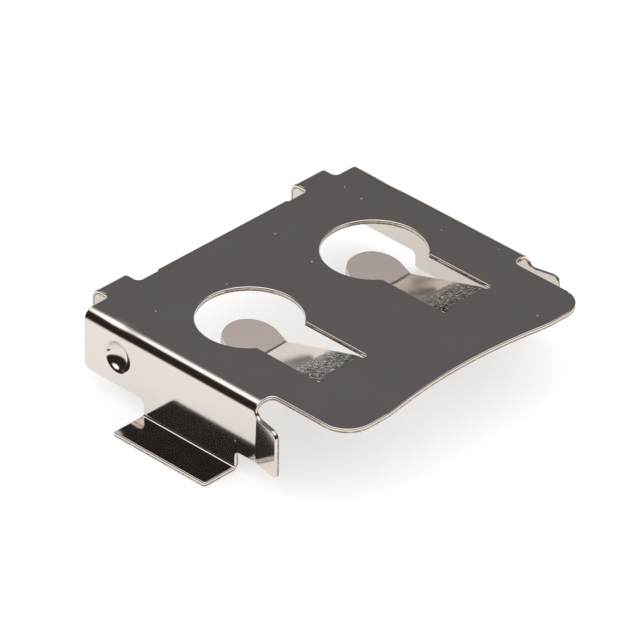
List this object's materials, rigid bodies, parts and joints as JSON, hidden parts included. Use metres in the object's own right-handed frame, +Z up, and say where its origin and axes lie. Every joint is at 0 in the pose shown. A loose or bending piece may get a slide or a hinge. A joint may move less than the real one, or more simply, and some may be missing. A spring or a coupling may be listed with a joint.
{
  "type": "coin cell holder",
  "caption": "Folded spring-sheet clip that holds a coin cell on a circuit board: flat plate with keyholes, spring tongues, side walls, solder feet and rear stops.",
  "frame": {"origin": "the held cell's axis at board level, which is the plane of the feet's undersides", "axes": "+X to the right foot, +Y to the rear stop tabs, +Z up from the board"},
  "size_m": [0.0258, 0.0198, 0.0049],
  "materials": {
    "nickel_plate": "bright nickel plating on spring steel sheet, mirror smooth, faint grain at the tongues' root folds"
  },
  "bodies": {
    "root": {"cell_clip": "nickel_plate"}
  },
  "joints": []
}
